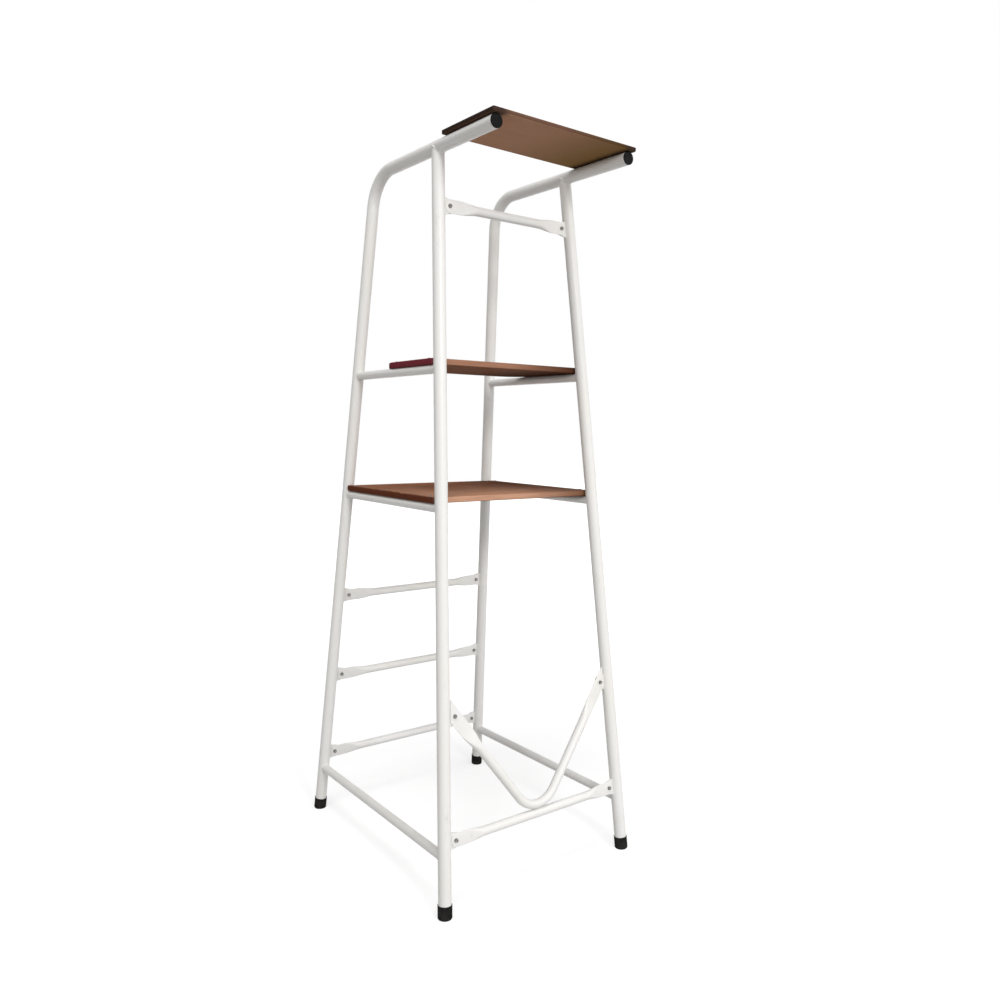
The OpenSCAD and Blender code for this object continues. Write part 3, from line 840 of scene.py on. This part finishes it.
# %% [markdown]
# ## V brace
# The brace is one tube with a bend at its foot, which rests on the lower bar.
# Its sections follow one arm of the V, then the bend, then the other arm. Each
# arm runs through its bolt, so the slope follows from the bolt's place and the
# size of the bend.

# %% V brace: its line
BRACE_FLAT = 60 * MM
BRACE_FLARE = 80 * MM
BEND_R = 83 * MM
BRACE_GAP = 0.3 * MM
BEND_STEPS = 32

hub_z = LOWER_BAR_Z * UP + 2 * BAR_R + BRACE_GAP + BEND_R
hub = Vector((0, BAR_AXIS_Y, hub_z))
dx = bolt_x(BRACE_BOLT_Z)
dz = BRACE_BOLT_Z * UP - hub_z
slope = math.atan2(dz, dx) + math.asin(BEND_R / math.hypot(dx, dz))
straight = math.sqrt(dx * dx + dz * dz - BEND_R * BEND_R) - BRACE_FLAT - BRACE_FLARE
past_bolt = (BOLT_INSET + 2 * BAR_R) / math.cos(slope) - BOLT_INSET


def away(angle):
    """Direction out of the bend, the given angle from straight down."""
    return Vector((math.sin(angle), 0, -math.cos(angle)))


def brace_arm(side):
    """Sections of one arm, from the bend's side outwards."""
    out = away(side * slope)
    along = Vector((side * math.cos(slope), 0, math.sin(slope)))
    start = hub + out * BEND_R + along * straight
    return end_sections(start, along, out, BRACE_FLARE, BRACE_FLAT + past_bolt)


print("slope of the brace in degrees:", round(math.degrees(slope), 1))

# %% [markdown]
# The pressed ends are longer than the tabs and are sawn off along the legs, so
# the skin is first made too long and then cut with a plane beside each leg. A
# cut leaves a hole, which gets a new face.

# %% V brace: its skin
TRIM_GAP = 3 * MM

bend = []
for step in range(BEND_STEPS + 1):
    out = away(slope * (2 * step / BEND_STEPS - 1))
    bend.append(slot_section(hub + out * BEND_R, out, BESIDE_TABS, 2 * BAR_R, 2 * BAR_R))

shape = bmesh.new()
skin_rings(shape, brace_arm(-1)[::-1] + bend + brace_arm(1))
for side in (-1, 1):
    leg_point = Vector((side * leg_x(BRACE_BOLT_Z), 0, BRACE_BOLT_Z * UP))
    to_leg = Vector((side * UP, 0, math.tan(LEAN))).normalized()
    everything = shape.verts[:] + shape.edges[:] + shape.faces[:]
    cut_point = leg_point - to_leg * (LEG_R + TRIM_GAP)
    bmesh.ops.bisect_plane(shape, geom=everything, plane_co=cut_point, plane_no=to_leg, clear_outer=True)
    bmesh.ops.holes_fill(shape, edges=[e for e in shape.edges if e.is_boundary], sides=0)
shape.transform(FRONT)
make_piece("brace_tube", shape, white_paint, ["v_brace"])
print("sections of the brace:", 2 * (FLARE_STEPS + END_STEPS + 2) + BEND_STEPS + 1)

# %% [markdown]
# ## Hexagon heads
# A bolt head is hot forged and its corners are turned off with a cone, so the
# six sides end in arcs. The radius of a hexagon is known for every angle, and
# the cone says how high the side reaches there. Rings of points at these
# heights give head and nut alike, and `lathe` makes the round rings between.

# %% Helpers for turned shapes
HEX_WIDTH = 10 * MM
FACE_R = 0.47 * HEX_WIDTH
RING_POINTS = 48
CONE = math.tan(math.radians(30))


def once_round(count):
    """Equal angles once round a circle."""
    return [2 * math.pi * i / count for i in range(count)]


def polar(radius, angle, z):
    return Vector((radius * math.cos(angle), radius * math.sin(angle), z))


def hexagon_radius(angle):
    return HEX_WIDTH / 2 / math.cos((angle + math.pi / 6) % (math.pi / 3) - math.pi / 6)


def hexagon_ring(z, direction=0):
    """A ring at height z. With a direction, corners pull back behind the cone."""
    ring = []
    for angle in once_round(RING_POINTS):
        radius = hexagon_radius(angle)
        back = (radius - FACE_R) * CONE if direction else 0
        ring.append(polar(radius, angle, z - direction * back))
    return ring


def lathe(*profile):
    """Round rings from pairs of radius and height."""
    return [[polar(radius, angle, z) for angle in once_round(RING_POINTS)] for radius, z in profile]


print("hexagon across its corners in mm:", round(2 * hexagon_radius(math.pi / 6) / MM, 2))

# %% [markdown]
# ## Bolts, nuts and washers
# Twelve bolts hold the bars, rungs and brace to the tabs. Each has its head on
# the bar with a washer, and a nut behind the tab with another. Local Z points
# from the nut to the head. Every kind is one piece: its rings are written once
# for each place, so all twelve share one shape.

# %% Places of the bolts
bolt_places = []
to_head = Matrix.Rotation(math.radians(90), 4, "X")
for _, plane, heights in TAB_ROWS:
    for z in heights:
        for side in (-1, 1):
            bolt_places.append(plane @ Matrix.Translation((side * bolt_x(z), 0, z * UP)) @ to_head)


def repeated(rings, places, spins=None, loop=False):
    """One bmesh with the same rings skinned at every place, each spun about its axis."""
    shape = bmesh.new()
    for number, place in enumerate(places):
        turned = place @ Matrix.Rotation(spins[number] if spins else 0, 4, "Z")
        skin_rings(shape, [[turned @ point for point in ring] for ring in rings], loop)
    return shape


print("bolts:", len(bolt_places))

# %% [markdown]
# The spanner leaves each head turned differently, so a seeded random spin is
# drawn for every bolt and nut. The end of a bolt shows a few turns of thread,
# drawn as ridges, and a chamfer. The head has a shallow dish on top.

# %% Bolts
HEAD_SIDE = TAB_T / 2 + FLAT_T
NUT_SIDE = TAB_T / 2
WASHER_T = 1.6 * MM
NUT_H = 5 * MM
HEAD_H = 4 * MM
HEAD_FOOT = 0.3 * MM
DISH_R = 0.3 * HEX_WIDTH
DISH_DEPTH = 0.25 * MM
BOLT_R = 3 * MM
BOLT_PAST = 2.5 * MM
CREST_R = 0.98 * BOLT_R
ROOT_R = 0.86 * BOLT_R
THREAD_PITCH = 1.0 * MM
THREAD_FROM = 0.7 * MM
TIP_R = 0.78 * BOLT_R
TIP_RIM_R = 0.95 * BOLT_R
TIP_H = 0.6 * MM

dice = random.Random(7)
head_spins = [dice.uniform(0, math.pi / 3) for _ in bolt_places]
nut_spins = [dice.uniform(0, math.pi / 3) for _ in bolt_places]

nut_low = -NUT_SIDE - WASHER_T - NUT_H
tip = nut_low - BOLT_PAST
rings = lathe((TIP_R, tip), (TIP_RIM_R, tip + TIP_H))
ridge = tip + THREAD_FROM
while ridge < nut_low + THREAD_PITCH:
    rings += lathe((CREST_R, ridge), (ROOT_R, ridge + THREAD_PITCH / 2))
    ridge += THREAD_PITCH
seat = HEAD_SIDE + WASHER_T
rings += lathe((CREST_R, ridge), (CREST_R, seat), (FACE_R, seat))
rings += [hexagon_ring(seat + HEAD_FOOT), hexagon_ring(seat + HEAD_H, 1)]
rings += lathe((FACE_R, seat + HEAD_H), (DISH_R, seat + HEAD_H - DISH_DEPTH))
shape = repeated(rings, bolt_places, head_spins)
make_piece("hexagon_bolts", shape, bolt_steel, ["bolts"], crisp=25)
print("length of a bolt in mm:", round((seat + HEAD_H - tip) / MM, 1))

# %% [markdown]
# Nuts and washers have a hole, so their rings run up the outside and back down
# the inside, and the last ring is joined to the first.

# %% Nuts and washers
NUT_HOLE = BOLT_R + 0.1 * MM
NUT_CHAMFER = 0.5 * MM
WASHER_R = 6 * MM
WASHER_HOLE = 3.25 * MM
WASHER_EASE = 0.25 * MM

rings = lathe((NUT_HOLE, nut_low + NUT_CHAMFER), (BOLT_R + NUT_CHAMFER, nut_low), (FACE_R, nut_low))
rings += [hexagon_ring(nut_low, -1), hexagon_ring(nut_low + NUT_H, 1)]
rings += lathe((FACE_R, nut_low + NUT_H), (NUT_HOLE, nut_low + NUT_H))
shape = repeated(rings, bolt_places, nut_spins, loop=True)
make_piece("hexagon_nuts", shape, bolt_steel, ["nuts"], crisp=25)

washer_heights = (HEAD_SIDE, -NUT_SIDE - WASHER_T)
washer_places = [p @ Matrix.Translation((0, 0, z)) for p in bolt_places for z in washer_heights]
rings = lathe(
    (WASHER_HOLE, 0), (WASHER_R - WASHER_EASE, 0), (WASHER_R, WASHER_EASE),
    (WASHER_R, WASHER_T - WASHER_EASE), (WASHER_R - WASHER_EASE, WASHER_T), (WASHER_HOLE, WASHER_T))
shape = repeated(rings, washer_places, loop=True)
make_piece("plain_washers", shape, bolt_steel, ["washers"], crisp=25)
print("washers:", len(washer_places))

# %% [markdown]
# ## Board screws
# Each board is held by four pan head screws with a cross recess. The head is a
# low dome made of rings, and the recess is pressed into it by lowering the
# points near the middle that lie along the two arms of the cross.

# %% Shape of a board screw
SHANK_R = 2.4 * MM
SCREW_HEAD_R = 5.5 * MM
SCREW_HEAD_H = 2.6 * MM
SCREW_PAST = 6 * MM
POINT_R = 0.4 * MM
POINT_H = 3 * MM
DOME_SHARES = (1.0, 0.98, 0.9, 0.78, 0.66, 0.54, 0.5, 0.36, 0.22, 0.1)
DOME_POWER = 2.6
RECESS_R = 2.9 * MM
RECESS_HALF = 0.75 * MM
RECESS_DEPTH = 1.4 * MM


def screw_rings(board):
    """Rings from the point, up the shank, over the head and down into its cross."""
    rings = lathe((POINT_R, -SCREW_PAST), (SHANK_R, -SCREW_PAST + POINT_H), (SHANK_R, board))
    for share in DOME_SHARES:
        radius = share * SCREW_HEAD_R
        dome = board + SCREW_HEAD_H * math.sqrt(max(0.0, 1 - share ** DOME_POWER))
        ring = []
        for angle in once_round(RING_POINTS):
            from_arm = abs((angle + math.pi / 4) % (math.pi / 2) - math.pi / 4)
            in_cross = radius < RECESS_R and radius * math.sin(from_arm) < RECESS_HALF
            ring.append(polar(radius, angle, dome - RECESS_DEPTH if in_cross else dome))
        rings.append(ring)
    return rings


print("rings of a screw:", len(screw_rings(TOP_T)))

# %% [markdown]
# The screws stand over the rails or the arms, a little in from the ends of each
# board. The level boards' boxes give these rows, and the top board's rows are
# counted along the arms, clear of the plugs.

# %% Places of the board screws
SCREW_INSET = 35 * MM
PLUG_LENGTH = 24 * MM
PLUG_TO_SCREW = 12 * MM


def level_rows(node, rear_inset):
    """Rows of the screws from front to rear, the board's underside and its thickness."""
    low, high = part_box(node)
    return (low.y + SCREW_INSET, high.y - rear_inset), low.z, high.z - low.z


top_rows = (PLUG_LENGTH + PLUG_TO_SCREW - ARM_REACH, TOP_D - SCREW_INSET - TOP_FRONT)
groups = (
    (Matrix.Identity(4), leg_x(PLATFORM_RAIL_Z), *level_rows("platform", SCREW_INSET)),
    (Matrix.Identity(4), leg_x(SEAT_RAIL_Z), *level_rows("seat_board", SEAT_CORNER)),
    (on_arms, leg_x(ARM_Z), top_rows, TOP_UNDER, TOP_T),
)
shape = bmesh.new()
for plane, x, rows, z, board in groups:
    for side in (-1, 1):
        for y in rows:
            spin = Matrix.Rotation(dice.uniform(0, math.pi / 2), 4, "Z")
            place = plane @ Matrix.Translation((side * x, y, z)) @ spin
            skin_rings(shape, [[place @ point for point in ring] for ring in screw_rings(board)])
make_piece("pan_screws", shape, screw_steel, ["board_screws"], crisp=30)
print("boards screwed down:", len(groups))

# %% [markdown]
# ## Weld beads
# A bead is a small section swept along the seam, a little flatter than round. A
# welder moves in short steps, so it swells and shrinks every few millimetres,
# and drifts a little over the whole seam. A bead that doesn't close on itself
# tapers off at both ends.

# %% Bead helper
BEAD_R = 2.5 * MM
BEAD_STEP = 0.8 * MM
BEAD_POINTS = 8
BEAD_HEIGHT = 0.75
RIPPLE = 2.4 * MM
RIPPLE_SHARE = 0.08
DRIFT_SHARE = 0.08
DRIFT_WAVES = 3
DRIFT_PHASES = 6.28
TAPER_STEPS = 4


def swept_bead(shape, path, outward, closed, place):
    """A rippled bead along a path, bulging to the outward side of each point."""
    phase = dice.uniform(0, DRIFT_PHASES)
    count = len(path)
    travelled = 0.0
    rings = []
    for i in range(count):
        before = path[i - 1] if closed or i else path[0]
        after = path[(i + 1) % count] if closed or i < count - 1 else path[-1]
        tangent = (after - before).normalized()
        out = (outward[i] - tangent * outward[i].dot(tangent)).normalized()
        sideways = tangent.cross(out)
        ripple = RIPPLE_SHARE * math.sin(2 * math.pi * travelled / RIPPLE)
        drift = DRIFT_SHARE * math.sin(2 * math.pi * i / count * DRIFT_WAVES + phase)
        radius = BEAD_R * (1 + ripple + drift)
        if not closed:
            radius *= math.sqrt(min(1.0, (min(i, count - 1 - i) + 0.5) / TAPER_STEPS))
        ring = []
        for angle in once_round(BEAD_POINTS):
            bulge = BEAD_HEIGHT * math.cos(angle) * out + math.sin(angle) * sideways
            ring.append(place @ (path[i] + radius * bulge))
        rings.append(ring)
        travelled += (after - path[i]).length
    skin_rings(shape, rings, loop=closed)


print("bead radius in mm:", BEAD_R / MM)

# %% [markdown]
# Rails meet legs in a saddle shaped curve. Going round the thin tube, each of
# its outer lines hits the thick tube at a distance that a quadratic equation
# gives. The bead bulges half way between the directions out of both tubes.

# %% Saddle helper
def saddle(start, along, radius, other, other_along, other_radius):
    """Where a tube that starts at a point and runs along a line meets another tube."""
    across = Vector((1, 0, 0))
    up = along.cross(across).normalized()
    path = []
    outward = []
    for angle in once_round(int(2 * math.pi * radius / BEAD_STEP)):
        radial = math.cos(angle) * across + math.sin(angle) * up
        q = start + radial * radius - other
        q -= other_along * q.dot(other_along)
        a = along - other_along * along.dot(other_along)
        half_b = q.dot(a) / a.dot(a)
        c = (q.dot(q) - other_radius ** 2) / a.dot(a)
        t = -half_b - math.sqrt(max(0.0, half_b ** 2 - c))
        path.append(start + radial * radius + along * t)
        outward.append((radial + (q + a * t).normalized()).normalized())
    return path, outward


print("points round a rail's seam:", int(2 * math.pi * BAR_R / BEAD_STEP))

# %% [markdown]
# ## Welds of the side frames
# Each side frame has three rails with two ends each, and one front leg that
# ends under the arm. They are drawn in the frame's own leaning plane and then
# placed, and the right frame is the mirror image of the left.

# %% Welds of the side frames
front_foot = Vector((0, -FOOT_Y, 0))
front_up = Vector((0, math.sin(RAKE), math.cos(RAKE)))
rear_foot = Vector((0, FOOT_Y, 0))
rear_up = Vector((0, -math.sin(RAKE), math.cos(RAKE)))
arm_start = Vector((0, 0, ARM_Z / math.cos(LEAN)))
arm_along = Vector((0, -math.cos(ARM_FALL), -math.sin(ARM_FALL)))
RAILS = ((BASE_RAIL_Z, BASE_RAIL_RISE), (PLATFORM_RAIL_Z, 0.0), (SEAT_RAIL_Z, 0.0))

leaning = Matrix.Translation((-FOOT_X, 0, 0)) @ Matrix.Rotation(LEAN, 4, "Y")
for name, flip in zip(SIDES, (1, -1)):
    place = Matrix.Translation((0, CENTRE_Y, 0)) @ Matrix.Scale(flip, 4, (1, 0, 0)) @ leaning
    shape = bmesh.new()
    for z, rise in RAILS:
        middle = Vector((0, 0, z / math.cos(LEAN)))
        forward = Vector((0, -math.cos(rise), math.sin(rise)))
        for along, foot, up_leg in ((forward, front_foot, front_up), (-forward, rear_foot, rear_up)):
            path, outward = saddle(middle, along, BAR_R, foot, up_leg, LEG_R)
            swept_bead(shape, path, outward, True, place)
    path, outward = saddle(front_foot, front_up, LEG_R, arm_start, arm_along, LEG_R)
    swept_bead(shape, path, outward, True, place)
    make_piece(f"welds_frame_{name}", shape, white_paint, crisp=80)
    print("weld seams on the", name, "frame:", 2 * len(RAILS) + 1)

# %% [markdown]
# ## Welds of the tabs
# A tab is welded to its leg along both faces. The bead is straight there, and
# lies where the face of the tab meets the round of the leg.

# %% Welds of the tabs
reach = math.sqrt(LEG_R ** 2 - (TAB_T / 2) ** 2)
steps = int(TAB_H / BEAD_STEP)
for name, plane, heights in TAB_ROWS:
    shape = bmesh.new()
    for z in heights:
        for side in (-1, 1):
            up_leg = Vector((-side * math.tan(LEAN), 0, UP)).normalized()
            inward = Vector((-side * UP, 0, -math.tan(LEAN))).normalized()
            middle = Vector((side * leg_x(z), 0, z * UP))
            for face in (-1, 1):
                corner = inward * reach + Vector((0, face * TAB_T / 2, 0))
                path = [middle + corner + up_leg * (s - steps / 2) * BEAD_STEP for s in range(steps + 1)]
                outward = [(Vector((0, face, 0)) + corner.normalized()).normalized()] * len(path)
                swept_bead(shape, path, outward, False, plane)
    make_piece(f"welds_tabs_{name}", shape, white_paint, crisp=80)
    print("weld seams on the", name, "tabs:", 2 * 2 * len(heights))

# %% [markdown]
# ## Floor
# The picture shows the chair on plain white. The floor is a pale grey that
# bounces soft light onto undersides. It glows only towards the camera and in
# reflections, and more with the distance, so that it runs into the white
# background without a horizon and still takes the shadow of the feet.

# %% Floor
FLOOR_SIZE = 30
FLOOR_DROP = 0.3 * MM
FLOOR_GREY = 0.5
FLOOR_DIP = 0.97
GLOW_NEAR = 0.65
GLOW_FAR = 1.0
GLOW_FROM = 1.2
GLOW_TO = 4.0


def grey(value):
    return (value, value, value, 1)


def seen_directly(tree):
    """1 for what the camera sees, straight or in a reflection or through glass."""
    rays = put(tree, "ShaderNodeLightPath").outputs
    seen = plus(rays["Is Camera Ray"], rays["Is Glossy Ray"])
    return maths("ADD", seen, rays["Is Transmission Ray"], clamp=True)


floor_paint, tree, shader = finish(
    "studio floor", Roughness=0.9, Specular_IOR_Level=0.0, Emission_Color=grey(1.0))
spot = put(tree, "ShaderNodeNewGeometry").outputs["Position"]
far = ramp(vector_maths("LENGTH", spot)["Value"], GLOW_FROM, GLOW_TO)
glow = plus(times(far, GLOW_FAR - GLOW_NEAR), GLOW_NEAR)
clouds = noise(spot, 3.0, Detail=3.0)
paper = mix_colours(clouds, grey(FLOOR_GREY * FLOOR_DIP), grey(FLOOR_GREY))
feed(shader.inputs["Base Color"], paper)
feed(shader.inputs["Emission Strength"], times(glow, seen_directly(tree)))

shape = bmesh.new()
bmesh.ops.create_grid(shape, x_segments=8, y_segments=8, size=FLOOR_SIZE / 2)
mesh = bpy.data.meshes.new("studio_floor")
shape.to_mesh(mesh)
shape.free()
mesh.materials.append(floor_paint)
floor = bpy.data.objects.new("studio_floor", mesh)
floor.location.z = -FLOOR_DROP
bpy.context.scene.collection.objects.link(floor)
print("floor in metres:", FLOOR_SIZE)

# %% [markdown]
# ## Background
# The world is white to the camera and in reflections too. To all other rays it
# is a dim room with a large white screen in front, which is the softest light
# there is and leaves the left and rear sides of the tubes a little darker. The
# screen is drawn by direction: full where a ray goes towards it, and fading to
# the side.

# %% Background
SCREEN_LIGHT = 0.95
ROOM_LIGHT = 0.18
SCREEN_SIDE = Vector((0.1, -0.95, 0.3)).normalized()
SCREEN_EDGE = 0.5

world = bpy.data.worlds.new("white studio")
bpy.context.scene.world = world
world.use_nodes = True
tree = world.node_tree
background = tree.nodes["Background"]
background.inputs["Color"].default_value = grey(1.0)
direction = put(tree, "ShaderNodeTexCoord").outputs["Generated"]
screen = ramp(vector_maths("DOT_PRODUCT", direction, SCREEN_SIDE)["Value"], 0.0, SCREEN_EDGE)
light = plus(times(screen, SCREEN_LIGHT - ROOM_LIGHT), ROOM_LIGHT)
seen = seen_directly(tree)
unseen = minus(1.0, seen)
feed(background.inputs["Strength"], plus(seen, times(unseen, light)))
print("light of screen and room:", SCREEN_LIGHT, ROOM_LIGHT)

# %% [markdown]
# ## Lamps
# Two area lamps help the screen, and they are soft because they are large. The
# key lamp stands far in front at about twice the chair's height, so it reaches
# the top and the feet with nearly the same strength. The top lamp hangs high
# above, a little to the left, and lights the upper sides of tubes and boards.

# %% Lamps
AIM = Vector((0, CENTRE_Y, 1.1))


def soft_lamp(name, place, size, watts):
    data = bpy.data.lights.new(name, "AREA")
    data.shape = "DISK"
    data.size = size
    data.energy = watts
    lamp = bpy.data.objects.new(name, data)
    lamp.location = place
    lamp.rotation_euler = (AIM - Vector(place)).to_track_quat("-Z", "Y").to_euler()
    bpy.context.scene.collection.objects.link(lamp)
    print(name, "at", [round(v, 2) for v in place], "with", watts, "W")


soft_lamp("key lamp", place=(-1.0, -8.0, 4.6), size=2.2, watts=230)
soft_lamp("top lamp", place=(-2.5, -2.0, 8.8), size=2.8, watts=170)

# %% [markdown]
# The view transform is the plain one, so that a colour renders about as it is written.

bpy.context.scene.view_settings.view_transform = "Standard"
